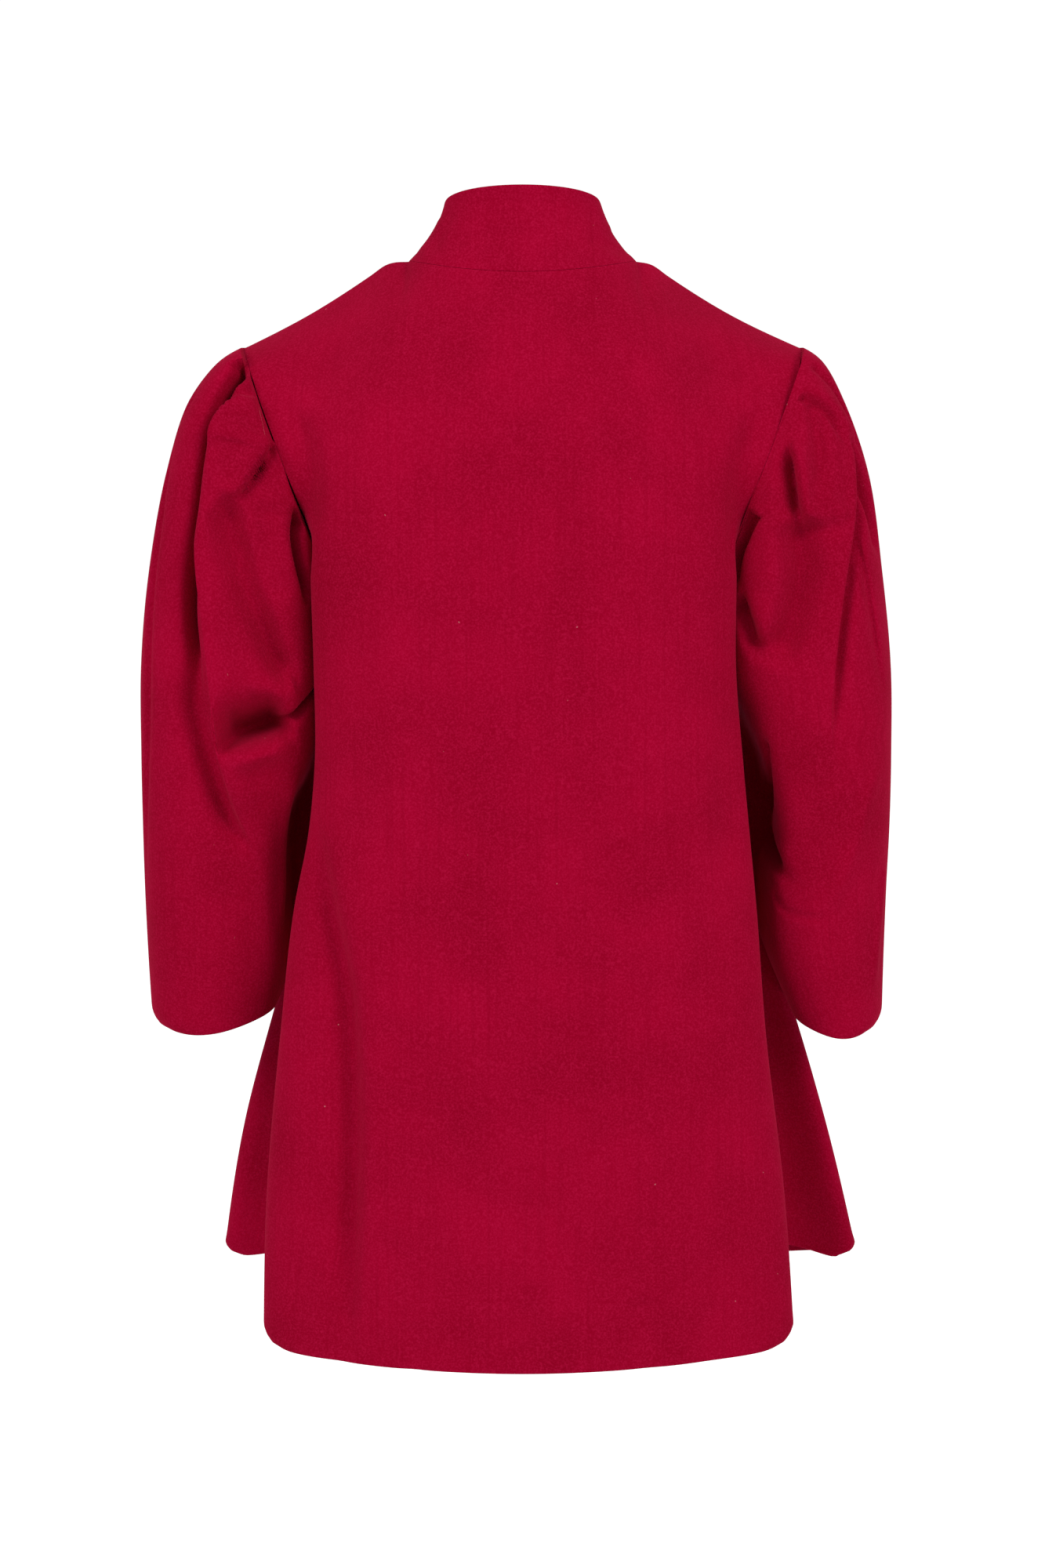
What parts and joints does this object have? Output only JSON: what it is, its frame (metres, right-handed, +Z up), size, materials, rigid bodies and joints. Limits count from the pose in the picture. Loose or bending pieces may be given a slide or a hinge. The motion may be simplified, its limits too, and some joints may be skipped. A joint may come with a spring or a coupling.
{
  "type": "medieval surcoat",
  "caption": "Short flared wool surcoat with stand collar and wide sleeves pleated into the armholes, filled out as worn and open at neck, hem and cuffs.",
  "frame": {"origin": "middle of the neck, level with the inner ends of the shoulder seams, where the coat rests on its wearer's shoulders", "axes": "+Z up, +Y the way the wearer faces, +X to the wearer's right"},
  "size_m": [0.6455, 0.335, 0.9852],
  "materials": {
    "wool": "matt fulled wool with a soft nap"
  },
  "bodies": {
    "root": {"back": "wool", "front_left": "wool", "front_right": "wool", "collar": "wool", "sleeve_left": "wool", "sleeve_right": "wool"}
  },
  "joints": []
}
